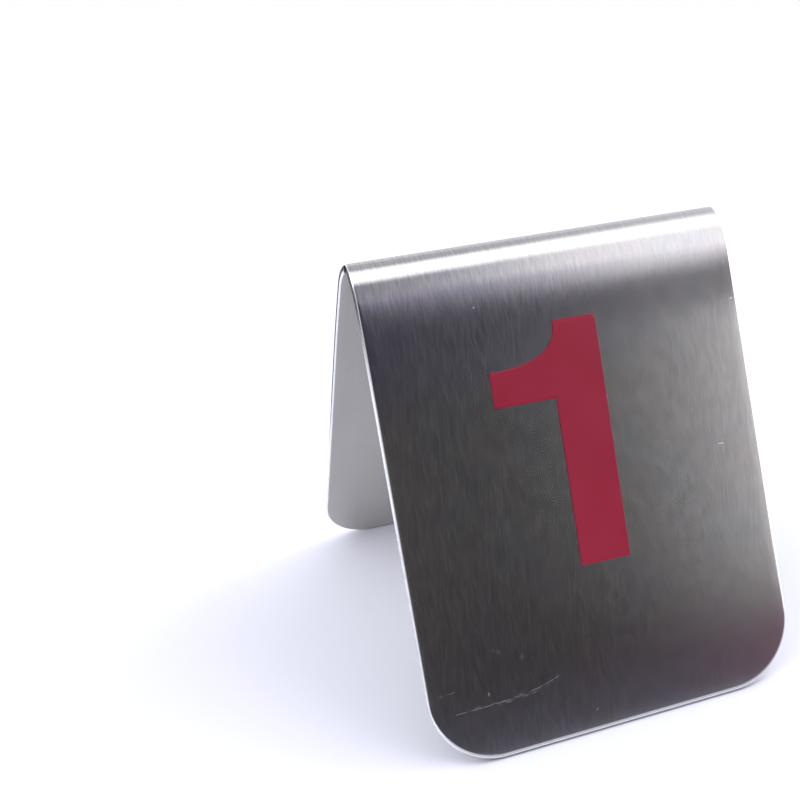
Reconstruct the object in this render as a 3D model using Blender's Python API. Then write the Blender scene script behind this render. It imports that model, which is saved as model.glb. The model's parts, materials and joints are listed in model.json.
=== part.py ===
"""Table number holder: a folded steel tent with a cut vinyl number on each leg.

World frame: metres, +Z up, +X along the ridge. The front leg leans back from -Y, the back
leg from +Y, and the origin is the middle of the footprint, on the surface it stands on.

The sheet is drawn flat first and then folded. A flat point is (x, run, depth): run is the
distance from the ridge line along the outer face, negative on the front leg and positive
on the back leg, and depth is how far the point lies inside the outer face.
"""

import math

import bmesh
import bpy
import numpy as np

# Sheet
WIDTH = 0.0500
HEIGHT = 0.0563
SHEET = 0.0010
LEG_ANGLE = math.radians(24.05)  # each leg from the vertical
CORNER_RADIUS = 0.0088
OUTER_EDGE_RADIUS = 0.00035
INNER_EDGE_RADIUS = 0.00015

# Fold, from the ridge outwards: radius of the inner face and the angle turned by its end
RIDGE_RADIUS = 0.0004
RIDGE_TURN = math.radians(25.9)
SHOULDER_RADIUS = 0.0070
SHOULDER_TURN = math.radians(63.1)
BOW_RADIUS = 0.2570

# Vinyl number, a plain numeral one
FILM = 0.00010
FILM_CLEARANCE = 0.00030  # between the film and the sheet
NUMERAL_HEIGHT = 0.0308
NUMERAL_DROP = 0.01145  # from the ridge down the leg to the numeral's top
NUMERAL_SHIFT = -0.0030  # sideways, from the middle of the leg
NUMERAL_TILT = math.radians(-0.8)
STEM_WIDTH = 0.0067
TOP_WIDTH = 0.0057
FLAG_REACH = 0.0082  # past the stem
FLAG_UNDERSIDE = 0.0212  # above the numeral's base
FLAG_DEPTH = 0.00445
FLAG_CURVE_POWER = 2.5  # 2 is an ellipse, more is squarer

# Facets
RIDGE_STEPS = 4
SHOULDER_STEPS = 6
BOW_STEPS = 4
CORNER_STEPS = 8
OUTER_EDGE_STEPS = 3
INNER_EDGE_STEPS = 2
FLAG_CURVE_STEPS = 10


def fold_arcs():
    """Outer radius, turn and steps of each arc on the way from the ridge to a leg."""
    leg_turn = math.pi / 2 - LEG_ANGLE
    return [
        (RIDGE_RADIUS + SHEET, RIDGE_TURN, RIDGE_STEPS),
        (SHOULDER_RADIUS + SHEET, SHOULDER_TURN - RIDGE_TURN, SHOULDER_STEPS),
        (BOW_RADIUS + SHEET, leg_turn - SHOULDER_TURN, BOW_STEPS),
    ]


def arc_stations():
    """Runs, from 0 at the ridge, at which the arcs are faceted."""
    stations = [0.0]
    for radius, turn, steps in fold_arcs():
        start = stations[-1]
        stations += [start + radius * turn * step / steps for step in range(1, steps + 1)]
    return stations


def fold_half(run):
    """Half width y, drop below the ridge and slope of the outer face at each run >= 0."""
    half_width = np.zeros_like(run)
    drop = np.zeros_like(run)
    slope = np.zeros_like(run)
    begun = 0.0
    turned = 0.0
    for radius, turn, _steps in fold_arcs():
        angle = np.clip((run - begun) / radius, 0.0, turn)
        half_width += radius * (np.sin(turned + angle) - math.sin(turned))
        drop += radius * (math.cos(turned) - np.cos(turned + angle))
        slope += angle
        begun += radius * turn
        turned += turn
    straight = np.maximum(run - begun, 0.0)
    half_width += straight * math.sin(LEG_ANGLE)
    drop += straight * math.cos(LEG_ANGLE)
    return half_width, drop, slope


def leg_run():
    """Run from the ridge to a leg's bottom edge, so that the inner edge stands on z = 0."""
    edge_lift = INNER_EDGE_RADIUS * (1.0 - math.cos(LEG_ANGLE))
    edge_lift += (SHEET - INNER_EDGE_RADIUS) * math.sin(LEG_ANGLE)
    fold_run = arc_stations()[-1]
    _width, fold_drop, _slope = fold_half(np.array([fold_run]))
    straight_drop = HEIGHT - edge_lift - fold_drop[0]
    return fold_run + straight_drop / math.cos(LEG_ANGLE)


def fold(flat):
    """Fold rows of (x, run, depth) into rows of (x, y, z)."""
    x, run, depth = np.asarray(flat, float).T
    half_width, drop, slope = fold_half(np.abs(run))
    y = np.sign(run) * (half_width - depth * np.sin(slope))
    z = HEIGHT - drop - depth * np.cos(slope)
    return np.stack([x, y, z], axis=1)


def quarter_arc(steps):
    """Angles from 0 to 90 degrees."""
    return [math.pi / 2 * step / steps for step in range(steps + 1)]


def right_outline():
    """Flat right-hand outline, front leg to back leg: rows of (x, run, normal x, normal run)."""
    leg = leg_run()
    corner_x = WIDTH / 2 - CORNER_RADIUS
    corner_run = leg - CORNER_RADIUS
    half = [(WIDTH / 2, run, 1.0, 0.0) for run in arc_stations()]
    for angle in quarter_arc(CORNER_STEPS):
        normal_x = math.cos(angle)
        normal_run = math.sin(angle)
        x = corner_x + CORNER_RADIUS * normal_x
        half.append((x, corner_run + CORNER_RADIUS * normal_run, normal_x, normal_run))
    front_half = [(x, -run, normal_x, -normal_run) for x, run, normal_x, normal_run in half]
    return front_half[:0:-1] + half


def edge_section():
    """Inset and depth of each point across the sheet's edge, outer face to inner face."""
    section = []
    for angle in quarter_arc(OUTER_EDGE_STEPS):
        inset = OUTER_EDGE_RADIUS * (1.0 - math.sin(angle))
        section.append((inset, OUTER_EDGE_RADIUS * (1.0 - math.cos(angle))))
    for angle in quarter_arc(INNER_EDGE_STEPS):
        inset = INNER_EDGE_RADIUS * (1.0 - math.cos(angle))
        section.append((inset, SHEET - INNER_EDGE_RADIUS * (1.0 - math.sin(angle))))
    return section


def material(name, colour, metallic, roughness):
    """A plain Principled material."""
    mat = bpy.data.materials.new(name)
    mat.use_nodes = True
    shader = mat.node_tree.nodes["Principled BSDF"]
    shader.inputs["Base Color"].default_value = (*colour, 1.0)
    shader.inputs["Metallic"].default_value = metallic
    shader.inputs["Roughness"].default_value = roughness
    return mat


def mesh_from(bm, name, mat):
    """Turn a bmesh into a smooth-shaded mesh with its faces pointing outwards."""
    bmesh.ops.recalc_face_normals(bm, faces=bm.faces)
    mesh = bpy.data.meshes.new(name)
    bm.to_mesh(mesh)
    bm.free()
    mesh.materials.append(mat)
    mesh.shade_smooth()
    mesh.set_sharp_from_angle(angle=math.radians(40.0))
    return mesh


def add_object(name, mesh):
    """Link an object with this mesh into the scene."""
    obj = bpy.data.objects.new(name, mesh)
    bpy.context.scene.collection.objects.link(obj)
    return obj


def folded_plate():
    """The sheet: an edge strip all round the outline, and straight bands across both faces."""
    right = np.array(right_outline())
    left = right[::-1] * np.array([-1.0, 1.0, -1.0, 1.0])
    outline = np.concatenate([right, left])
    section = edge_section()
    rings = []
    bm = bmesh.new()
    for inset, depth in section:
        flat = np.empty((len(outline), 3))
        flat[:, :2] = outline[:, :2] - inset * outline[:, 2:]
        flat[:, 2] = depth
        rings.append([bm.verts.new(point) for point in fold(flat)])
    for ring, next_ring in zip(rings, rings[1:]):
        for here in range(len(outline)):
            after = (here + 1) % len(outline)
            bm.faces.new((ring[here], ring[after], next_ring[after], next_ring[here]))
    for ring in (rings[0], rings[-1]):
        for here in range(len(right) - 1):
            across = len(outline) - 1 - here
            bm.faces.new((ring[here], ring[here + 1], ring[across - 1], ring[across]))
    steel = material("brushed_stainless", (0.55, 0.54, 0.56), 1.0, 0.35)
    return add_object("folded_plate", mesh_from(bm, "folded_plate", steel))


def numeral_outline():
    """Flat outline of the numeral: rows of (x, height), from the middle of its box."""
    right = (STEM_WIDTH + FLAG_REACH) / 2
    stem_left = right - STEM_WIDTH
    top_left = right - TOP_WIDTH
    flag_left = -right
    base = -NUMERAL_HEIGHT / 2
    top = NUMERAL_HEIGHT / 2
    underside = base + FLAG_UNDERSIDE
    shoulder = underside + FLAG_DEPTH
    points = [(stem_left, base), (right, base), (right, top)]
    for angle in quarter_arc(FLAG_CURVE_STEPS):
        across = math.cos(angle) ** (2.0 / FLAG_CURVE_POWER)
        down = math.sin(angle) ** (2.0 / FLAG_CURVE_POWER)
        x = flag_left + (top_left - flag_left) * across
        points.append((x, top - (top - shoulder) * down))
    points += [(flag_left, underside), (stem_left, underside)]
    return points


def front_numeral():
    """The cut film on the front leg, bent to follow the sheet's outer face."""
    middle_run = -NUMERAL_DROP - NUMERAL_HEIGHT / 2
    cos_tilt = math.cos(NUMERAL_TILT)
    sin_tilt = math.sin(NUMERAL_TILT)
    bm = bmesh.new()
    corners = []
    for x, height in numeral_outline():
        turned_x = NUMERAL_SHIFT + x * cos_tilt - height * sin_tilt
        turned_run = middle_run + x * sin_tilt + height * cos_tilt
        corners.append(bm.verts.new((turned_x, turned_run, -FILM_CLEARANCE)))
    bm.faces.new(corners)
    for station in arc_stations():
        geometry = bm.verts[:] + bm.edges[:] + bm.faces[:]
        bmesh.ops.bisect_plane(
            bm, geom=geometry, plane_co=(0.0, -station, 0.0), plane_no=(0.0, 1.0, 0.0)
        )
    skin = bmesh.ops.extrude_face_region(bm, geom=bm.faces[:], use_keep_orig=True)["geom"]
    for vert in skin:
        if isinstance(vert, bmesh.types.BMVert):
            vert.co.z -= FILM
    verts = bm.verts[:]
    for vert, point in zip(verts, fold([vert.co for vert in verts])):
        vert.co = point
    vinyl = material("crimson_vinyl", (0.25, 0.023, 0.045), 0.0, 0.45)
    return add_object("front_numeral", mesh_from(bm, "numeral", vinyl))


def back_numeral(front):
    """The same film on the back leg: the front one turned half round the upright axis."""
    numeral = add_object("back_numeral", front.data)
    numeral.rotation_euler.z = math.pi
    return numeral


def main():
    for obj in list(bpy.data.objects):
        bpy.data.objects.remove(obj, do_unlink=True)
    folded_plate()
    back_numeral(front_numeral())


main()
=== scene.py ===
# %% [markdown]
# # A folded steel table number
#
# The holder is one strip of stainless sheet, folded over a ridge into a tent, with a red
# vinyl number stuck on each leg. The load-bearing model is already made and loads as a fixed
# frame. This script remakes its pieces as fine surfaces, gives each one its finish, and sets
# up the floor, the light and the camera.

# %% Load the frame
import json
import math

import bpy
import numpy as np
from mathutils import Matrix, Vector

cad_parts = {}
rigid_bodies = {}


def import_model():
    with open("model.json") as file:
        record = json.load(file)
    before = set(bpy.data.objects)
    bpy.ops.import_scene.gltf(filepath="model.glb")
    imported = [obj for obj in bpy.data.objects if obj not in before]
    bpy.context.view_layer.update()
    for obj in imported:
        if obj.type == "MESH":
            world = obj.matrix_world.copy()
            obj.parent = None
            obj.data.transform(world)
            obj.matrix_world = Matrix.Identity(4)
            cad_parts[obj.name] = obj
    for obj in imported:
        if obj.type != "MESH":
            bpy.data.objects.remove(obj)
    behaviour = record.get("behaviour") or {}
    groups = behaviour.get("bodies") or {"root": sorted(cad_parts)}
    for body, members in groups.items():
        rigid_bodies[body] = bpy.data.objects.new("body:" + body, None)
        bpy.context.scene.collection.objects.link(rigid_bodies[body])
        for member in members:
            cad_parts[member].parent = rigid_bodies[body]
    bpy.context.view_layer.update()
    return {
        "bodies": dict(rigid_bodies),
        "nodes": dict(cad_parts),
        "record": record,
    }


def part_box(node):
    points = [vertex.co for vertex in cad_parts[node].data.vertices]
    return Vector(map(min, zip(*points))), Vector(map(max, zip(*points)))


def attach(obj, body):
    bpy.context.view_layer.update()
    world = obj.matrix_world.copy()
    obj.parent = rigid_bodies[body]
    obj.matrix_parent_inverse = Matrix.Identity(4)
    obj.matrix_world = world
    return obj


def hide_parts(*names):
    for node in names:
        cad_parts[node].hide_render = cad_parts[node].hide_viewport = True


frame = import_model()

kept = set(frame["nodes"].values()) | set(frame["bodies"].values())
for leftover in [item for item in bpy.data.objects if item not in kept]:
    bpy.data.objects.remove(leftover, do_unlink=True)

# %% [markdown]
# ## The folded sheet
#
# On the real object a blank is punched from brushed sheet, its edges are rolled over by the
# punch, and a press folds it. It could be modelled folded, with a Bevel on its edges, but then
# the brushing could not follow the metal round the fold. So the sheet is worked out flat, as
# the press operator gets it, and folded by a formula. Each point keeps its flat place as an
# attribute, which the finishes read later: the grain, the scratches and the number all stay
# where they are on the metal.

# %% Sizes of the sheet
MM = 0.001
box_low, box_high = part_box("folded_plate")
WIDTH = box_high.x - box_low.x
HEIGHT = box_high.z
SHEET = 1.0 * MM
inner_face = next(m for m in frame["record"]["mounts"] if m["name"] == "front_leg_inner_face")
LEG_ANGLE = math.asin(-inner_face["axis"][2])
CORNER_RADIUS = 8.8 * MM
ROLL_WIDTH = 0.5 * MM  # how far in the punched edge is rolled over
ROLL_DEPTH = 0.2 * MM
BURR_RADIUS = 0.15 * MM

# Outer radius of each arc from the ridge outwards, and the slope that it ends at
FOLD = [
    (1.4 * MM, math.radians(25.9)),
    (8.0 * MM, math.radians(63.1)),
    (258.0 * MM, math.pi / 2 - LEG_ANGLE),
]
print(f"sheet: {WIDTH / MM:.1f} mm wide, {HEIGHT / MM:.1f} mm high when folded")
print(f"legs: {math.degrees(LEG_ANGLE):.2f} degrees from the vertical")


# %% The fold as a formula
def fold_half(run):
    """Half width, drop and slope of the outer face at a distance run from the ridge.

    On an arc of radius r that starts at slope a, the half width grows by r (sin(a + t) - sin a)
    and the drop by r (cos a - cos(a + t)), t being the distance on the arc over r. Past the
    last arc the leg runs straight at the last slope.
    """
    run = np.asarray(run, float)
    half_width = np.zeros_like(run)
    drop = np.zeros_like(run)
    slope = np.zeros_like(run)
    begun = turned = 0.0
    for radius, end_slope in FOLD:
        turn = np.clip((run - begun) / radius, 0.0, end_slope - turned)
        half_width += radius * (np.sin(turned + turn) - math.sin(turned))
        drop += radius * (math.cos(turned) - np.cos(turned + turn))
        slope += turn
        begun += radius * (end_slope - turned)
        turned = end_slope
    straight = np.maximum(run - begun, 0.0)
    return (
        half_width + straight * math.sin(LEG_ANGLE),
        drop + straight * math.cos(LEG_ANGLE),
        slope,
    )


def fold(flat):
    """Fold rows of (x, run, depth) into rows of (x, y, z).

    The point on the outer face at |run| moves inwards by depth along the face's normal, which
    is (0, sin slope, cos slope). The sign of run says which leg it is on.
    """
    x, run, depth = flat.T
    half_width, drop, slope = fold_half(np.abs(run))
    y = np.sign(run) * (half_width - depth * np.sin(slope))
    return np.stack([x, y, HEIGHT - drop - depth * np.cos(slope)], axis=1)


start_slopes = [0.0] + [end_slope for _radius, end_slope in FOLD]
fold_end = sum(radius * (end - start) for (radius, end), start in zip(FOLD, start_slopes))
foot_lift = BURR_RADIUS * (1 - math.cos(LEG_ANGLE)) + (SHEET - BURR_RADIUS) * math.sin(LEG_ANGLE)
fold_drop = float(fold_half(fold_end)[1])
LEG = fold_end + (HEIGHT - foot_lift - fold_drop) / math.cos(LEG_ANGLE)
print(f"leg: {LEG / MM:.2f} mm from the ridge to its bottom edge, {fold_end / MM:.2f} of it curved")


# %% A helper that puts arrays into a mesh
def add_piece(name, points, faces, flat, uv_per_corner=None):
    """A smooth-shaded object from arrays, with its flat place as the attribute "flat"."""
    mesh = bpy.data.meshes.new(name)
    mesh.from_pydata(points.tolist(), [], faces.tolist())
    attribute = mesh.attributes.new("flat", "FLOAT_VECTOR", "POINT")
    attribute.data.foreach_set("vector", flat.astype(np.float32).ravel())
    if uv_per_corner is not None:
        layer = mesh.uv_layers.new(name="OFBake")
        layer.data.foreach_set("uv", uv_per_corner.astype(np.float32).ravel())
    mesh.shade_smooth()
    mesh.set_sharp_from_angle(angle=math.radians(30.0))
    piece = bpy.data.objects.new(name, mesh)
    bpy.context.scene.collection.objects.link(piece)
    return piece


def grid_faces(index):
    """Quads of a grid of vertex numbers, one for each cell."""
    corners = [index[:-1, :-1], index[:-1, 1:], index[1:, 1:], index[1:, :-1]]
    return np.stack(corners, axis=-1).reshape(-1, 4)


# %% [markdown]
# The flat sheet is a grid: rows across the sheet, columns along it. A row's half length
# follows the outline, which is straight and then a quarter circle at each corner. The edge is
# a strip round the grid's border: its section is a quarter ellipse where the punch rolled the
# outer face over, then the sheared wall, then a small quarter circle on the inside.

# %% The flat sheet and its edge
ARC_ROWS = (14, 26, 20)  # one number for each arc of the fold
STRAIGHT_ROWS = 24
CORNER_ROWS = 22
COLUMNS = 41
ROLL_STEPS = 12
BURNISHED_STEPS = 8  # how many of them count as the face; the rest take the wall's finish, with its painted contact shadow at the foot
BURR_STEPS = 5


def half_outline():
    """Right half of the outline of one leg: run, half length, and the outward normal's x and run."""
    runs = [np.zeros(1)]
    begun = turned = 0.0
    for (radius, end_slope), rows in zip(FOLD, ARC_ROWS):
        length = radius * (end_slope - turned)
        runs.append(begun + length * np.linspace(0, 1, rows + 1)[1:])
        begun += length
        turned = end_slope
    corner_run = LEG - CORNER_RADIUS
    runs.append(np.linspace(begun, corner_run, STRAIGHT_ROWS + 1)[1:-1])
    side = np.concatenate(runs)
    angle = np.linspace(0, math.pi / 2, CORNER_ROWS + 1)
    run = np.concatenate([side, corner_run + CORNER_RADIUS * np.sin(angle)])
    half = np.full(len(run), WIDTH / 2)
    half[len(side):] = WIDTH / 2 - CORNER_RADIUS * (1 - np.cos(angle))
    normal_x = np.concatenate([np.ones(len(side)), np.cos(angle)])
    normal_run = np.concatenate([np.zeros(len(side)), np.sin(angle)])
    return np.stack([run, half, normal_x, normal_run])


back_half = half_outline()
front_half = back_half[:, :0:-1] * np.array([[-1], [1], [1], [-1]])
RUN, HALF, NORMAL_X, NORMAL_RUN = np.concatenate([front_half, back_half], axis=1)
ROWS = len(RUN)


def sheet_grid(inset):
    """Flat (x, run) of the grid, with its border moved in from the outline by inset."""
    across = np.linspace(-1, 1, COLUMNS)
    x = np.outer(HALF - inset * NORMAL_X, across)
    run = np.repeat((RUN - inset * NORMAL_RUN)[:, None], COLUMNS, axis=1)
    return np.stack([x, run], axis=-1).reshape(-1, 2)


def border(index):
    """Vertex numbers round a grid, in order."""
    sides = [index[:-1, -1], index[-1, :0:-1], index[:0:-1, 0], index[0, :-1]]
    return np.concatenate(sides)


def edge_section():
    """Inset and depth across the edge: quarter ellipse, straight wall, quarter circle.

    With t from 0 to 90 degrees the ellipse is inset = width (1 - sin t) and depth = depth
    (1 - cos t), and the circle is the same turned round, at the wall's foot.
    """
    roll = np.linspace(0, math.pi / 2, ROLL_STEPS + 1)
    burr = np.linspace(0, math.pi / 2, BURR_STEPS + 1)
    inset = [ROLL_WIDTH * (1 - np.sin(roll)), BURR_RADIUS * (1 - np.cos(burr))]
    depth = [ROLL_DEPTH * (1 - np.cos(roll)), SHEET - BURR_RADIUS * (1 - np.sin(burr))]
    return np.concatenate(inset), np.concatenate(depth)


# %% The sheet as one closed mesh
MAP_MARGIN = 3.0 * MM  # left free at each end of the sheet in its texture map
MAP_SCALE = 1 / (2 * LEG + 2 * MAP_MARGIN)
OUTER_MAP = [0.25, 0.5]  # middle of the outer face in the map, and of the inner face
INNER_MAP = [0.75, 0.5]


def folded_sheet():
    """Outer grid, edge strip and inner grid, sewn together by vertex number.

    Returns the piece and, per face, 0 for the outer face with the burnished part of its rolled
    edge, 1 for the rest of the edge and 2 for the inner face.
    """
    inset, depth = edge_section()
    count = ROWS * COLUMNS
    grid = np.arange(count).reshape(ROWS, COLUMNS)
    around = border(grid)
    outer = np.column_stack([sheet_grid(inset[0]), np.full(count, depth[0])])
    inner = np.column_stack([sheet_grid(inset[-1]), np.full(count, depth[-1])])
    strips = [
        np.column_stack([sheet_grid(i)[around], np.full(len(around), d)])
        for i, d in zip(inset[1:-1], depth[1:-1])
    ]
    flat = np.concatenate([outer, *strips, inner])

    ring_starts = count + len(around) * np.arange(len(strips))
    middle_rings = ring_starts[:, None] + np.arange(len(around))
    inner_start = count + len(around) * len(strips)
    rings = np.vstack([around, middle_rings, around + inner_start])
    rings = np.column_stack([rings, rings[:, 0]])
    outer_faces = grid_faces(grid)
    inner_faces = grid_faces(grid + inner_start)[:, ::-1]
    strip_faces = grid_faces(rings)[:, ::-1]
    faces = np.concatenate([outer_faces, strip_faces, inner_faces])
    rolled = BURNISHED_STEPS * len(around)
    kind = np.concatenate([
        np.zeros(len(outer_faces) + rolled, int),
        np.ones(len(strip_faces) - rolled, int),
        np.full(len(inner_faces), 2),
    ])

    # Texture map: the outer face with its edge unrolled round it, and the inner face beside it
    unrolled = np.cumsum(np.hypot(np.diff(inset, prepend=inset[0]), np.diff(depth, prepend=0)))
    reach = unrolled - inset[0]
    edge_normal = np.column_stack([
        np.repeat(NORMAL_X[:, None], COLUMNS, axis=1).ravel(),
        np.repeat(NORMAL_RUN[:, None], COLUMNS, axis=1).ravel(),
    ])
    edge_normal[:, 0] *= np.tile(np.sign(np.linspace(-1, 1, COLUMNS)), ROWS)
    outline = sheet_grid(0.0)
    skirts = [outline[around] + r * edge_normal[around] for r in reach[1:]]
    place = np.concatenate([outer[:, :2], *skirts[:-1], inner[:, :2]])
    place[around + inner_start] = skirts[-1]
    on_outer = place[faces] * MAP_SCALE + OUTER_MAP
    on_inner = flat[faces][:, :, :2] * MAP_SCALE + INNER_MAP
    uv = np.where((kind == 2)[:, None, None], on_inner, on_outer)
    piece = add_piece("steel_sheet", fold(flat), faces, flat, uv.reshape(-1, 2))
    return piece, kind


sheet, sheet_kind = folded_sheet()
print(f"{sheet.name}: {len(sheet.data.vertices)} vertices, {len(sheet.data.polygons)} faces")

# %% [markdown]
# ## The number
#
# The number is cut from self-adhesive vinyl by a plotter and stuck on by hand, so it sits a
# hair off square. A Text object would bring a font's own shape, which this figure doesn't
# have. It is worked out as a grid instead: columns across the figure, each with the height of
# its lower and upper end, and the cells left of the stem and under the flag are left out. The
# same fold formula lays it on the leg.

# %% Sizes of the number
FILM = 0.08 * MM
FILM_GAP = 0.004 * MM
FILM_ROUND = 0.02 * MM  # how far in the cut edge is eased
FILM_DROOP = FILM / 4  # how far the film's top sinks there
NUMERAL_HEIGHT = 30.8 * MM
NUMERAL_DROP = 11.45 * MM  # from the ridge down the leg to the number's top
NUMERAL_SHIFT = -3.0 * MM  # sideways, from the middle of the leg
NUMERAL_TILT = math.radians(-0.8)
STEM_WIDTH = 6.7 * MM
TOP_WIDTH = 5.7 * MM
FLAG_REACH = 8.2 * MM  # past the stem
FLAG_UNDERSIDE = 21.2 * MM  # above the number's base
FLAG_DEPTH = 4.45 * MM
FLAG_CURVE_POWER = 2.5  # 2 is an ellipse, more is squarer

# Steps of the grid: across the flag, the neck and the stem, then up to the flag and over it
FLAG_STEPS = 34
NECK_STEPS = 16
STEM_STEPS = 12
LOW_STEPS = 24
HIGH_STEPS = 14
HIGH_ROUND = 0.008  # the eased edge above the flag's underside, as a share of the height there


def eased_steps(low, high, count, inset=FILM_ROUND):
    """Even steps from low to high, with one more line just inside each end."""
    middle = np.linspace(low, high, count + 1)[1:-1]
    return np.concatenate([[low, low + inset], middle, [high - inset, high]])


def numeral_columns():
    """x of each column, the height of its upper end, and the number of flag columns.

    The flag's upper edge is a quarter of a superellipse: with a from 90 to 0 degrees, x runs
    as cos(a) to the power 2/p and the height as 1 - sin(a) to the power 2/p.
    """
    right = (STEM_WIDTH + FLAG_REACH) / 2
    stem_left = right - STEM_WIDTH
    top_left = right - TOP_WIDTH
    top = NUMERAL_HEIGHT / 2
    shoulder = FLAG_UNDERSIDE + FLAG_DEPTH - top
    power = FLAG_CURVE_POWER / 2
    flag_x = eased_steps(-right, stem_left, FLAG_STEPS)
    neck_x = eased_steps(stem_left, top_left, NECK_STEPS)[1:]
    stem_x = eased_steps(top_left, right, STEM_STEPS)[1:]
    curve_x = np.concatenate([flag_x, neck_x])
    across = np.clip((curve_x + right) / (top_left + right), 0, 1)
    sine = np.sqrt(1 - across ** (2 * power))
    curve_top = top - (top - shoulder) * sine ** (1 / power)
    x = np.concatenate([curve_x, stem_x])
    upper = np.concatenate([curve_top, np.full(len(stem_x), top)])
    return x, upper, len(flag_x) - 1


# %% The film as a closed mesh
def number_film(name, half_turn):
    """Top grid, cut edge and glued underside of one number, folded onto its leg.

    A point (across, height) of the figure, turned by the tilt, lies at x = shift + across cos
    - height sin and run = across sin + height cos - drop - half the figure's height.
    """
    x, upper, flag_columns = numeral_columns()
    base = -NUMERAL_HEIGHT / 2
    underside = base + FLAG_UNDERSIDE
    low_rows = eased_steps(base, underside, LOW_STEPS)
    rise = eased_steps(0.0, 1.0, HIGH_STEPS, HIGH_ROUND)
    high_rows = underside + np.outer(rise[1:], upper - underside)
    height = np.concatenate([np.repeat(low_rows[:, None], len(x), axis=1), high_rows])
    turn = len(low_rows) - 1
    index = np.arange(height.size).reshape(height.shape)
    around = np.concatenate([
        index[0, flag_columns:-1], index[:-1, -1], index[-1, :0:-1],
        index[:turn:-1, 0], index[turn, :flag_columns], index[turn:0:-1, flag_columns],
    ])

    across = np.broadcast_to(x, height.shape)
    place_x = NUMERAL_SHIFT + across * math.cos(NUMERAL_TILT) - height * math.sin(NUMERAL_TILT)
    run = across * math.sin(NUMERAL_TILT) + height * math.cos(NUMERAL_TILT)
    run = run - NUMERAL_DROP - NUMERAL_HEIGHT / 2
    bottom = np.column_stack([place_x.ravel(), run.ravel(), np.full(height.size, -FILM_GAP)])
    top = bottom - [0.0, 0.0, FILM]
    top[around, 2] += FILM_DROOP
    flat = np.concatenate([top, bottom])

    cells = grid_faces(index)
    row, column = np.divmod(cells[:, 0], height.shape[1])
    cells = cells[(row >= turn) | (column >= flag_columns)]
    closed = np.append(around, around[0])
    wall = grid_faces(np.stack([closed, closed + height.size]))[:, ::-1]
    faces = np.concatenate([cells, wall, cells[:, ::-1] + height.size])

    used, faces = np.unique(faces, return_inverse=True)
    points = fold(flat[used])
    if half_turn:
        points = points * [-1, -1, 1]
    return add_piece(name, points, faces.reshape(-1, 4), flat[used])


front_number = number_film("front_number_film", half_turn=False)
back_number = number_film("back_number_film", half_turn=True)
print(f"each number: {len(front_number.data.polygons)} faces, {NUMERAL_HEIGHT / MM:.1f} mm high")

# %% [markdown]
# ## Small tools for node trees
#
# The finishes are node trees built in code. These helpers add one node each and return its
# output, so a tree reads like a sum. A value handed to them may be a number or another
# node's output.

# %% Node helpers
def feed(tree, socket, value):
    """Link an output into a socket, or set the socket's own value."""
    if isinstance(value, bpy.types.NodeSocket):
        tree.links.new(value, socket)
    else:
        socket.default_value = value


def calc(tree, operation, *values):
    """A Math node."""
    node = tree.nodes.new("ShaderNodeMath")
    node.operation = operation
    for socket, value in zip(node.inputs, values):
        feed(tree, socket, value)
    return node.outputs[0]


def ease(tree, value, low, high, start=0.0, end=1.0):
    """Smooth step: start below low, end above high."""
    node = tree.nodes.new("ShaderNodeMapRange")
    node.interpolation_type = "SMOOTHSTEP"
    names = ("Value", "From Min", "From Max", "To Min", "To Max")
    for name, entry in zip(names, (value, low, high, start, end)):
        feed(tree, node.inputs[name], entry)
    return node.outputs["Result"]


def blend(tree, factor, first, second):
    """Mix two colours."""
    node = tree.nodes.new("ShaderNodeMix")
    node.data_type = "RGBA"
    feed(tree, node.inputs[0], factor)
    colour_sockets = [socket for socket in node.inputs if socket.type == "RGBA"]
    for socket, colour in zip(colour_sockets, (first, second)):
        feed(tree, socket, colour)
    return next(socket for socket in node.outputs if socket.type == "RGBA")


def blend_values(tree, factor, first, second):
    """Mix two numbers."""
    node = tree.nodes.new("ShaderNodeMix")
    feed(tree, node.inputs[0], factor)
    number_sockets = [socket for socket in node.inputs[1:] if socket.type == "VALUE"]
    for socket, number in zip(number_sockets, (first, second)):
        feed(tree, socket, number)
    return node.outputs[0]


def noise(tree, vector, detail):
    """Noise from 0 to 1, with bumps about 1 unit of the vector wide."""
    node = tree.nodes.new("ShaderNodeTexNoise")
    feed(tree, node.inputs["Vector"], vector)
    node.inputs["Scale"].default_value = 1.0
    node.inputs["Detail"].default_value = detail
    return node.outputs["Fac"]


def scaled(tree, value, factor, offset):
    """value times factor plus offset."""
    return calc(tree, "MULTIPLY_ADD", value, factor, offset)


def product(tree, first, second):
    """Two values multiplied."""
    return calc(tree, "MULTIPLY", first, second)


def split(tree, vector):
    """The three numbers of a vector."""
    node = tree.nodes.new("ShaderNodeSeparateXYZ")
    feed(tree, node.inputs[0], vector)
    return node.outputs[0], node.outputs[1], node.outputs[2]


def join(tree, x, y, z=0.0):
    """A vector from three numbers."""
    node = tree.nodes.new("ShaderNodeCombineXYZ")
    for socket, value in zip(node.inputs, (x, y, z)):
        feed(tree, socket, value)
    return node.outputs[0]


def new_group(name, inputs, outputs):
    """A shader node group with named sockets: inputs are (name, kind, value)."""
    tree = bpy.data.node_groups.new(name, "ShaderNodeTree")
    for label, kind, value in inputs:
        socket = tree.interface.new_socket(label, in_out="INPUT", socket_type=kind)
        if value is not None:
            socket.default_value = value
    for label in outputs:
        tree.interface.new_socket(label, in_out="OUTPUT", socket_type="NodeSocketFloat")
    return tree, tree.nodes.new("NodeGroupInput").outputs, tree.nodes.new("NodeGroupOutput").inputs


def use_group(tree, group, **values):
    """Place a group in a material; a value's name is the socket's, with _ for a space."""
    node = tree.nodes.new("ShaderNodeGroup")
    node.node_tree = group
    for name, value in values.items():
        feed(tree, node.inputs[name.replace("_", " ")], value)
    return node.outputs


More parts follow.
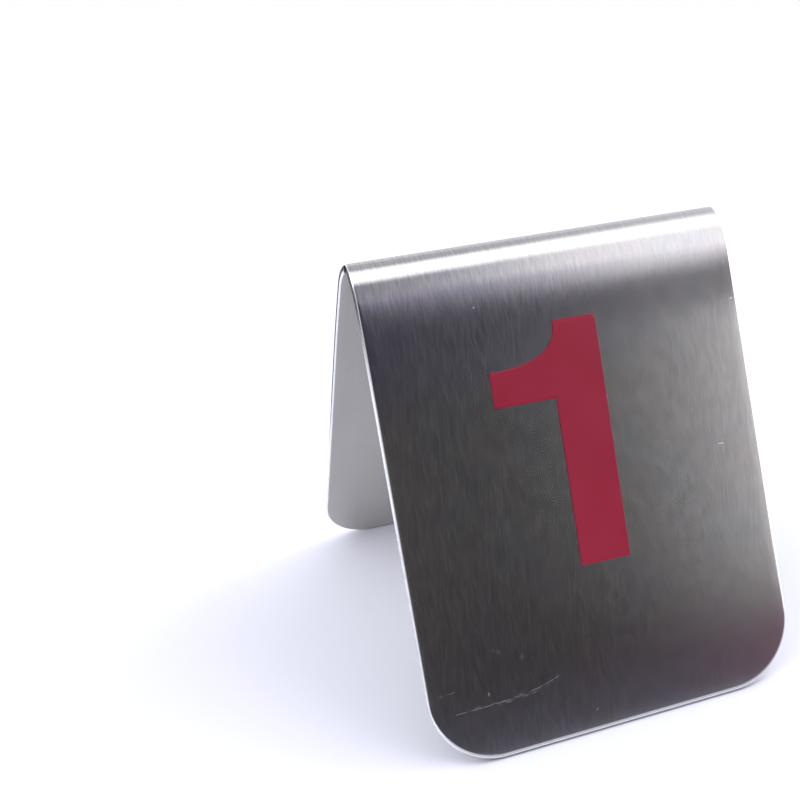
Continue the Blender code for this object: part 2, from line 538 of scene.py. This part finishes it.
# %% [markdown]
# ## Effects that the finishes share
#
# Brushed steel is a field of fine parallel lines. Noise drawn out along the grain would do,
# but its lines wander as wood grain does. So the sheet is cut into narrow columns, and each
# column has its own noise along it: every line comes out dead straight and ends on its own.
# Two widths are mixed, because a belt leaves a few deep lines among many fine ones. Handling
# adds soft patches, where fingers and cloths have been, and single scratches, each a thin
# curve with gaps where the point skipped.

# %% The brushed grain
NOISE_LOW = 0.3  # nearly all of a noise lies between these two
NOISE_HIGH = 0.7
COLUMN_SPACING = 5.37  # in the noise, far enough apart that two columns don't look alike
LONGEST_START = 90.0  # each column starts somewhere between 0 and this
COARSE_WIDTH = 2.4  # of a coarse line, in fine lines
COARSE_LENGTH = 1.7


def grain_lines(tree, x, run, width, length):
    """Straight lines from 0 to 1: noise along each column, at (column, run / length + start).

    The column is x / width rounded down, and the start is a random number for that column.
    """
    column = calc(tree, "FLOOR", calc(tree, "DIVIDE", x, width))
    chance = tree.nodes.new("ShaderNodeTexWhiteNoise")
    chance.noise_dimensions = "1D"
    feed(tree, chance.inputs["W"], column)
    start = product(tree, chance.outputs["Value"], LONGEST_START)
    along = calc(tree, "ADD", calc(tree, "DIVIDE", run, length), start)
    field = noise(tree, join(tree, product(tree, column, COLUMN_SPACING), along), detail=1.0)
    return ease(tree, field, NOISE_LOW, NOISE_HIGH)


def build_grain():
    """Fine lines and, wider and longer, coarse ones."""
    tree, given, result = new_group(
        "brushed_grain",
        [
            ("Place", "NodeSocketVector", None),
            ("Line Width", "NodeSocketFloat", 0.1 * MM),
            ("Line Length", "NodeSocketFloat", 6.0 * MM),
        ],
        ["Lines", "Coarse Lines"],
    )
    x, run, _depth = split(tree, given["Place"])
    wide = product(tree, given["Line Width"], COARSE_WIDTH)
    long = product(tree, given["Line Length"], COARSE_LENGTH)
    fine = grain_lines(tree, x, run, given["Line Width"], given["Line Length"])
    feed(tree, result["Lines"], fine)
    feed(tree, result["Coarse Lines"], grain_lines(tree, x, run, wide, long))
    return tree


# %% Handling patches
def build_patches():
    """Soft patches from 0 to 1: noise at the place over the patch size."""
    tree, given, result = new_group(
        "handling_patches",
        [("Place", "NodeSocketVector", None), ("Patch Size", "NodeSocketFloat", 12.0 * MM)],
        ["Patches"],
    )
    x, run, depth = split(tree, given["Place"])
    size = given["Patch Size"]
    place = join(tree, calc(tree, "DIVIDE", x, size), calc(tree, "DIVIDE", run, size), depth)
    field = noise(tree, place, detail=4.0)
    feed(tree, result["Patches"], ease(tree, field, NOISE_LOW, NOISE_HIGH))
    return tree


# %% Scratches
SCRATCH_END = 0.06  # share of its length over which a scratch sets in and lifts off
SKIPS_PER_METRE = 900.0
SKIP_SOFTNESS = 0.12


def build_scratch():
    """One scratch: how near the place is to a bowed line from Start, Length long at Angle.

    Along the line t goes from 0 to 1, and the line bends aside by Bow times t to the fourth.
    It skips where a noise along it stays under Gaps.
    """
    tree, given, result = new_group(
        "scratch",
        [
            ("Place", "NodeSocketVector", None),
            ("Start", "NodeSocketVector", None),
            ("Angle", "NodeSocketFloat", 0.0),
            ("Length", "NodeSocketFloat", 10.0 * MM),
            ("Bow", "NodeSocketFloat", 0.0),
            ("Width", "NodeSocketFloat", 0.1 * MM),
            ("Gaps", "NodeSocketFloat", 0.5),
        ],
        ["Mask"],
    )
    offset = tree.nodes.new("ShaderNodeVectorMath")
    offset.operation = "SUBTRACT"
    feed(tree, offset.inputs[0], given["Place"])
    feed(tree, offset.inputs[1], given["Start"])
    turned = tree.nodes.new("ShaderNodeVectorRotate")
    turned.rotation_type = "Z_AXIS"
    feed(tree, turned.inputs["Vector"], offset.outputs[0])
    feed(tree, turned.inputs["Angle"], product(tree, given["Angle"], -1.0))
    along, aside, _depth = split(tree, turned.outputs[0])
    t = calc(tree, "DIVIDE", along, given["Length"])
    bend = product(tree, calc(tree, "POWER", calc(tree, "MAXIMUM", t, 0.0), 4.0), given["Bow"])
    distance = calc(tree, "ABSOLUTE", calc(tree, "SUBTRACT", aside, bend))
    near = ease(tree, calc(tree, "DIVIDE", distance, given["Width"]), 0.0, 1.0, 1.0, 0.0)
    set_in = ease(tree, t, 0.0, SCRATCH_END)
    lift_off = ease(tree, t, 1.0 - SCRATCH_END, 1.0, 1.0, 0.0)
    skips = noise(tree, join(tree, product(tree, along, SKIPS_PER_METRE), 3.0), detail=3.0)
    held = ease(tree, calc(tree, "SUBTRACT", skips, given["Gaps"]), -SKIP_SOFTNESS, SKIP_SOFTNESS)
    drawn = product(tree, near, product(tree, set_in, lift_off))
    feed(tree, result["Mask"], product(tree, drawn, held))
    return tree


grain = build_grain()
patches = build_patches()
scratch = build_scratch()
print("groups:", [group.name for group in (grain, patches, scratch)])

# %% [markdown]
# ## The finishes
#
# Steel is a metal, so its colour is the colour of its reflections, and the look comes from
# roughness. Brushing makes it rough across the grain and nearly smooth along it: that is
# anisotropy, with the Tangent node saying which way is across. The inside of the tent was
# never brushed and keeps the even, matt skin of the rolling mill.

# %% Helpers for materials
def new_material(name, metallic):
    """A material with a Principled shader, and its tree and shader."""
    material = bpy.data.materials.new(name)
    material.use_nodes = True
    tree = material.node_tree
    shader = tree.nodes["Principled BSDF"]
    shader.inputs["Metallic"].default_value = metallic
    return material, tree, shader


def flat_place(tree):
    """The flat place of the surface point, in metres."""
    node = tree.nodes.new("ShaderNodeAttribute")
    node.attribute_name = "flat"
    return node.outputs["Vector"]


def grey(value):
    """A neutral colour."""
    return (value, value, value, 1)


# %% The brushed faces
# Each scratch on the front leg: start x and run, angle, length, bow, width, gaps, strength.
# The angle is in degrees and every length in millimetres.
SCRATCHES = [
    ((-22.8, -56.4), 0.0, 15.4, 1.6, 0.09, 0.42, 0.9),
    ((-20.6, -56.1), -3.0, 8.0, 0.8, 0.08, 0.50, 0.8),
    ((-16.5, -56.6), 3.0, 7.5, 0.5, 0.16, 0.50, 0.7),
    ((-23.7, -53.8), 5.0, 2.4, 0.0, 0.09, 0.42, 0.6),
    ((-17.3, -55.2), 80.0, 0.45, 0.0, 0.12, 0.10, 1.0),
    ((-12.6, -51.8), 40.0, 0.7, 0.0, 0.35, 0.30, 0.3),
    ((-14.8, -50.4), 150.0, 1.4, 0.0, 0.35, 0.40, 0.22),
    ((-3.7, -60.7), 60.0, 0.6, 0.0, 0.10, 0.45, 0.8),
    ((23.8, -12.9), 20.0, 0.5, 0.0, 0.10, 0.10, 1.0),
    ((-10.8, -8.5), 70.0, 0.3, 0.0, 0.10, 0.10, 0.8),
    ((18.9, -31.0), 0.0, 0.8, 0.0, 0.08, 0.25, 0.7),
]


def scratch_mask(tree, place):
    """All the scratches together."""
    total = 0.0
    for start, angle, length, bow, width, gaps, strength in SCRATCHES:
        made = use_group(
            tree,
            scratch,
            Place=place,
            Start=(start[0] * MM, start[1] * MM, 0.0),
            Angle=math.radians(angle),
            Length=length * MM,
            Bow=bow * MM,
            Width=width * MM,
            Gaps=gaps,
        )
        total = calc(tree, "MAXIMUM", total, product(tree, made["Mask"], strength))
    return total


COOL_STEEL = (0.99, 0.99, 1.015, 1)  # tints, which the shade below scales
WARM_STEEL = (1.015, 0.993, 0.985, 1)
STEEL_SHADE = 0.48
LEFT_BITE = 0.12  # how much the lines change the shade, on the left of the sheet
RIGHT_BITE = 0.05
SMUDGE_SHADE = 0.02
ROLLED_SHADE = 0.82  # on the rolled edge, which the punch burnished
SCRATCH_COLOUR = grey(0.62)
STEEL_ROUGHNESS = 0.144
ROUGHNESS_SPREAD = 0.006  # added by the lines, and again by smudges
SCRATCH_ROUGHNESS = 0.20  # on top of the steel's
COARSE_SHARE = 0.3  # of the coarse lines among all


def brushed_face():
    """Outer faces: brushed up and down the legs.

    The shade is STEEL_SHADE plus bite times (lines - 0.5), where bite eases from LEFT_BITE to
    RIGHT_BITE across the sheet. On the rolled edge, where depth grows, it is ROLLED_SHADE.
    """
    material, tree, shader = new_material("brushed_stainless", metallic=1.0)
    place = flat_place(tree)
    lines = use_group(tree, grain, Place=place, Line_Width=0.13 * MM, Line_Length=2.0 * MM)
    patch = use_group(tree, patches, Place=place, Patch_Size=9.0 * MM)["Patches"]
    smudge = use_group(tree, patches, Place=place, Patch_Size=2.2 * MM)["Patches"]
    marks = scratch_mask(tree, place)
    fine = product(tree, lines["Lines"], 1.0 - COARSE_SHARE)
    both = scaled(tree, lines["Coarse Lines"], COARSE_SHARE, fine)
    x, _run, depth = split(tree, place)
    bite = ease(tree, x, -10 * MM, 12 * MM, LEFT_BITE, RIGHT_BITE)
    shade = scaled(tree, calc(tree, "SUBTRACT", both, 0.5), bite, STEEL_SHADE)
    shade = scaled(tree, smudge, SMUDGE_SHADE, shade)
    shade = calc(tree, "MAXIMUM", shade, ease(tree, depth, 0.0, 0.05 * MM, 0.0, ROLLED_SHADE))
    base = tree.nodes.new("ShaderNodeVectorMath")
    base.operation = "SCALE"
    feed(tree, base.inputs[0], blend(tree, patch, COOL_STEEL, WARM_STEEL))
    feed(tree, base.inputs["Scale"], shade)
    feed(tree, shader.inputs["Base Color"], blend(tree, marks, base.outputs[0], SCRATCH_COLOUR))
    rough = scaled(tree, both, ROUGHNESS_SPREAD, STEEL_ROUGHNESS)
    rough = scaled(tree, smudge, ROUGHNESS_SPREAD, rough)
    feed(tree, shader.inputs["Roughness"], scaled(tree, marks, SCRATCH_ROUGHNESS, rough))
    shader.inputs["Anisotropic"].default_value = 0.835
    tangent = tree.nodes.new("ShaderNodeTangent")
    tangent.direction_type = "UV_MAP"
    tangent.uv_map = "OFBake"
    feed(tree, shader.inputs["Tangent"], tangent.outputs[0])
    return material


# %% The sheared edge
WALL_DIM = (0.84, 0.84, 0.85, 1)
WALL_BRIGHT = grey(0.94)
# Painted shade in the fold's crease, painted contact shadow at the foot, and darker stretches
WALL_DARKENED = grey(0.03)
DARK_STRETCH_SHARE = 0.9  # how far the darker stretches of the wall go from bright to dark


def sheared_edge():
    """The punched wall of the sheet: bright, with darker stretches and painted shade.

    At the ridge, within about a millimetre either way, the fold's crease is painted shade. On
    the front leg the whole wall beside the ridge is darker, and on the back leg only its outer
    lip, for most of the way down. At the foot the dark is a painted contact shadow.
    """
    material, tree, shader = new_material("sheared_edge", metallic=1.0)
    place = flat_place(tree)
    patch = use_group(tree, patches, Place=place, Patch_Size=1.5 * MM)["Patches"]
    bright = blend(tree, patch, WALL_DIM, WALL_BRIGHT)
    _x, run, depth = split(tree, place)
    distance = calc(tree, "ABSOLUTE", run)
    # painted shade in the fold's crease, within about a millimetre of the ridge
    crease_shade = ease(tree, distance, 0.6 * MM, 1.6 * MM, 1.0, 0.0)
    # darker stretches: the back leg's outer lip, and the front leg's wall near the ridge
    back_lip = ease(tree, depth, 0.55 * MM, 0.75 * MM, 1.0, 0.0)
    back_lip = product(tree, back_lip, ease(tree, run, 25 * MM, 45 * MM, 1.0, 0.0))
    front_wall = ease(tree, run, -18 * MM, -5 * MM)
    on_front = ease(tree, run, -2 * MM, 2 * MM, 1.0, 0.0)
    dark_stretch = product(tree, blend_values(tree, on_front, back_lip, front_wall), DARK_STRETCH_SHARE)
    # painted contact shadow at the foot, where the edge is nearest the floor
    foot = ease(tree, distance, LEG - 3 * MM, LEG - 1 * MM)
    dark = calc(tree, "MAXIMUM", calc(tree, "MAXIMUM", crease_shade, dark_stretch), foot)
    feed(tree, shader.inputs["Base Color"], blend(tree, dark, bright, WALL_DARKENED))
    feed(tree, shader.inputs["Metallic"], calc(tree, "SUBTRACT", 1.0, dark))
    shader.inputs["Specular IOR Level"].default_value = 0.0
    feed(tree, shader.inputs["Roughness"], ease(tree, patch, 0.0, 1.0, 0.26, 0.38))
    return material


# %% The inner faces
DARK_SKIN = (0.54, 0.535, 0.51, 1)
LIGHT_SKIN = (0.59, 0.585, 0.555, 1)


def mill_face():
    """Inner faces: the matt skin of the rolling mill, never brushed."""
    material, tree, shader = new_material("mill_finish", metallic=1.0)
    place = flat_place(tree)
    lines = use_group(tree, grain, Place=place, Line_Width=0.25 * MM, Line_Length=9.0 * MM)
    patch = use_group(tree, patches, Place=place, Patch_Size=14.0 * MM)["Patches"]
    tone = scaled(tree, lines["Coarse Lines"], 0.3, product(tree, patch, 0.7))
    feed(tree, shader.inputs["Base Color"], blend(tree, tone, DARK_SKIN, LIGHT_SKIN))
    feed(tree, shader.inputs["Roughness"], ease(tree, tone, 0.0, 1.0, 0.41, 0.47))
    return material


# %% The vinyl
DEEP_CRIMSON = (0.285, 0.009, 0.033, 1)
LIGHT_CRIMSON = (0.30, 0.010, 0.036, 1)
TOOTH_DEPTH = 0.0015 * MM


def crimson_vinyl():
    """The number: matt vinyl whose fine tooth is a bump of TOOTH_DEPTH."""
    material, tree, shader = new_material("crimson_vinyl", metallic=0.0)
    place = flat_place(tree)
    patch = use_group(tree, patches, Place=place, Patch_Size=6.0 * MM)["Patches"]
    tooth = use_group(tree, patches, Place=place, Patch_Size=0.12 * MM)["Patches"]
    feed(tree, shader.inputs["Base Color"], blend(tree, patch, DEEP_CRIMSON, LIGHT_CRIMSON))
    shader.inputs["Specular IOR Level"].default_value = 0.3
    feed(tree, shader.inputs["Roughness"], ease(tree, patch, 0.0, 1.0, 0.44, 0.52))
    bump = tree.nodes.new("ShaderNodeBump")
    bump.inputs["Strength"].default_value = 1.0
    bump.inputs["Distance"].default_value = TOOTH_DEPTH
    feed(tree, bump.inputs["Height"], tooth)
    feed(tree, shader.inputs["Normal"], bump.outputs["Normal"])
    return material


# %% Put the finishes on
for finish in (brushed_face(), sheared_edge(), mill_face()):
    sheet.data.materials.append(finish)
sheet.data.polygons.foreach_set("material_index", sheet_kind.astype(np.int32))
vinyl = crimson_vinyl()
for film in (front_number, back_number):
    film.data.materials.append(vinyl)
print("finishes:", [material.name for material in sheet.data.materials] + [vinyl.name])

# %% [markdown]
# ## Stand the pieces on the frame
#
# Each piece takes the place of its load-bearing solid and rides on the one body that a part
# with no joints has.

# %% Replace the solids
for piece, node, slot in (
    (sheet, "folded_plate", "brushed_stainless"),
    (front_number, "front_numeral", "crimson_vinyl"),
    (back_number, "back_numeral", "crimson_vinyl"),
):
    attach(piece, "root")
    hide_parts(node)
    print(f"{piece.name} replaces {node}")

# %% [markdown]
# ## Floor and light
#
# Brushed steel shows the room, not itself. The room could be built from lamps and cards, but
# each would have its own edge to place and its own shadow. Here it is a sky worked out from
# the direction of each ray: a wide soft light overhead, a bright wall to the right, a grey
# wall behind, and a dark side where the camera stands. The camera itself sees only a plain
# pale backdrop, and a sheet of pale paper as the floor.

# %% The floor
NEAR_PAPER = (0.88, 0.89, 0.985, 1)
# far off, the paper's painted shade: a falloff of light towards the back
FAR_PAPER_SHADED = (0.77, 0.77, 0.86, 1)
FLOOR_REACH = 4.0  # metres each way from the middle


def plain_floor():
    """A wide pale floor. To mirrors it ends 5 to 10 cm in front, where the dark room begins."""
    low, high = -FLOOR_REACH, FLOOR_REACH
    corners = [(low, low, 0), (high, low, 0), (high, high, 0), (low, high, 0)]
    mesh = bpy.data.meshes.new("floor")
    mesh.from_pydata(corners, [], [(0, 1, 2, 3)])
    floor = bpy.data.objects.new("floor", mesh)
    bpy.context.scene.collection.objects.link(floor)
    material, tree, shader = new_material("floor_paper", metallic=0.0)
    shader.inputs["Roughness"].default_value = 0.9
    shader.inputs["Specular IOR Level"].default_value = 0.0
    place = tree.nodes.new("ShaderNodeTexCoord").outputs["Object"]
    _x, y, _z = split(tree, place)
    gone = ease(tree, product(tree, y, -1.0), 0.05, 0.10)
    seen = tree.nodes.new("ShaderNodeLightPath").outputs["Is Camera Ray"]
    gone = product(tree, gone, calc(tree, "SUBTRACT", 1.0, seen))
    feed(tree, shader.inputs["Alpha"], calc(tree, "SUBTRACT", 1.0, gone))
    # from 3 to 40 cm back the paper darkens: painted shade, a falloff of light
    paper = blend(tree, ease(tree, y, 0.03, 0.40), NEAR_PAPER, FAR_PAPER_SHADED)
    feed(tree, shader.inputs["Base Color"], paper)
    mesh.materials.append(material)


plain_floor()
print(f"floor: {2 * FLOOR_REACH:.0f} m square")

# %% [markdown]
# A direction has three parts, x to the right, y away from the camera and z up, which together
# have length 1. So a wall's upright edge is a value of x, and a level edge a value of z. The
# metal's lower part mirrors directions near the horizon, and each bend above it mirrors higher
# ones, so the room in front is built in bands from the ground up.

# %% Tones of the room
# A ramp is the half-lit strip beside the bright wall on the right
LEFT_GROUND = (0.098, 0.094, 0.123, 1)
RIGHT_GROUND = (0.356, 0.171, 0.252, 1)  # a wine-coloured cloth
LOW_LEFT = (0.128, 0.122, 0.126, 1)
LOW_MIDDLE = (0.049, 0.047, 0.048, 1)
LOW_RAMP = (0.236, 0.230, 0.233, 1)
LOW_RIGHT = (3.03, 2.97, 3.0, 1)
GAP_LEFT = (0.064, 0.062, 0.087, 1)
GAP_RAMP = (0.255, 0.250, 0.272, 1)
GAP_RIGHT = (0.20, 0.196, 0.206, 1)
HIGH_LEFT = (0.415, 0.392, 0.531, 1)
HIGHEST_LEFT = (0.367, 0.355, 0.424, 1)
HIGH_RIGHT = (1.87, 1.83, 1.93, 1)
LEFT_WALL = (0.8, 0.8, 0.85, 1)
BACK_WALL = (1.12, 1.12, 1.18, 1)
BACK_CEILING = (0.75, 0.75, 0.78, 1)
WINDOW = (3.4, 3.4, 3.5, 1)
LAMP = (2.4, 2.4, 2.43, 1)
BACKDROP = (0.92, 0.92, 1.0, 1)

# Edges, each soft between its two values: the first three of x, the rest of z
CLOTH_EDGE = (0.45, 0.56)
RAMP_EDGE = (0.433, 0.473)
RIGHT_EDGE = (0.542, 0.626)
HORIZON = (0.04, 0.06)
GAP_EDGE = (0.325, 0.337)
HIGH_EDGE = (0.547, 0.563)  # at x = 0; at another x it is lower by HIGH_FALL times x
HIGH_FALL = 0.248


# %% The room in front
def front_of_room(tree, x, z):
    """Ground, lower band, dark gap and upper band, each from its left tone to its right one."""
    side = ease(tree, x, *RIGHT_EDGE)
    ramp = ease(tree, x, *RAMP_EDGE)
    ground = blend(tree, ease(tree, x, *CLOTH_EDGE), LEFT_GROUND, RIGHT_GROUND)
    low = blend(tree, ease(tree, x, 0.10, 0.28), LOW_LEFT, LOW_MIDDLE)
    low = blend(tree, ramp, low, LOW_RAMP)
    low = blend(tree, side, low, LOW_RIGHT)
    gap = blend(tree, ramp, GAP_LEFT, GAP_RAMP)
    gap = blend(tree, side, gap, GAP_RIGHT)
    high = blend(tree, ease(tree, z, 0.50, 0.70), HIGH_LEFT, HIGHEST_LEFT)
    high_side = scaled(tree, calc(tree, "MINIMUM", z, 0.65), 0.3, x)
    high = blend(tree, ease(tree, high_side, 0.498, 0.642), high, HIGH_RIGHT)
    front = blend(tree, ease(tree, z, *HORIZON), ground, low)
    front = blend(tree, ease(tree, z, *GAP_EDGE), front, gap)
    front = blend(tree, ease(tree, scaled(tree, x, HIGH_FALL, z), *HIGH_EDGE), front, high)
    return blend(tree, ease(tree, product(tree, x, -1.0), 0.35, 0.65), front, LEFT_WALL)


def lamp_mask(tree, y, z):
    """The light overhead, between its back and front edge in lean.

    Lean is -y / z: how far a ray leans from upright towards the camera's side.
    """
    lean = calc(tree, "DIVIDE", product(tree, y, -1.0), calc(tree, "MAXIMUM", z, 0.05))
    mask = product(tree, ease(tree, lean, -0.18, -0.01), ease(tree, lean, 0.23, 0.48, 1.0, 0.0))
    return product(tree, mask, ease(tree, z, 0.3, 0.5))


# %% The whole room
def build_room():
    """Front and back joined, then the window and the lamp, all behind the camera's backdrop."""
    world = bpy.data.worlds.new("room")
    bpy.context.scene.world = world
    world.use_nodes = True
    tree = world.node_tree
    x, y, z = split(tree, tree.nodes.new("ShaderNodeTexCoord").outputs["Generated"])
    back = blend(tree, ease(tree, z, 0.75, 0.95), BACK_WALL, BACK_CEILING)
    room = blend(tree, ease(tree, y, -0.05, 0.25), front_of_room(tree, x, z), back)
    window = product(tree, ease(tree, x, 0.74, 0.84), ease(tree, y, 0.25, 0.45, 1.0, 0.0))
    room = blend(tree, window, room, WINDOW)
    room = blend(tree, lamp_mask(tree, y, z), room, LAMP)
    seen = tree.nodes.new("ShaderNodeLightPath").outputs["Is Camera Ray"]
    background = tree.nodes["Background"]
    feed(tree, background.inputs["Color"], blend(tree, seen, room, BACKDROP))


build_room()
bpy.context.scene.view_settings.view_transform = "Standard"
print("room:", bpy.context.scene.world.name)

# %% [markdown]
# ## The camera
#
# The camera looks down at the holder from in front and a little to its left, close enough
# for the upright edges to lean apart. A product shot could be taken from far off with a long
# lens, and would be flatter: a near camera shows how small the holder is.

# %% Place the camera
CAMERA_PLACE = (-55.1 * MM, -119.6 * MM, 100.6 * MM)
CAMERA_HEADING = math.radians(16.77)
CAMERA_PITCH = math.radians(-27.01)
CAMERA_ROLL = math.radians(-3.22)

camera = bpy.data.objects.new("camera", bpy.data.cameras.new("camera"))
camera.data.lens = 49.02
camera.data.sensor_width = 36.0
camera.data.clip_start = 0.01
turn = Matrix.Rotation(-CAMERA_HEADING, 4, "Z")
turn = turn @ Matrix.Rotation(math.pi / 2 + CAMERA_PITCH, 4, "X")
turn = turn @ Matrix.Rotation(CAMERA_ROLL, 4, "Z")
camera.matrix_world = Matrix.Translation(CAMERA_PLACE) @ turn
bpy.context.scene.collection.objects.link(camera)
bpy.context.scene.camera = camera
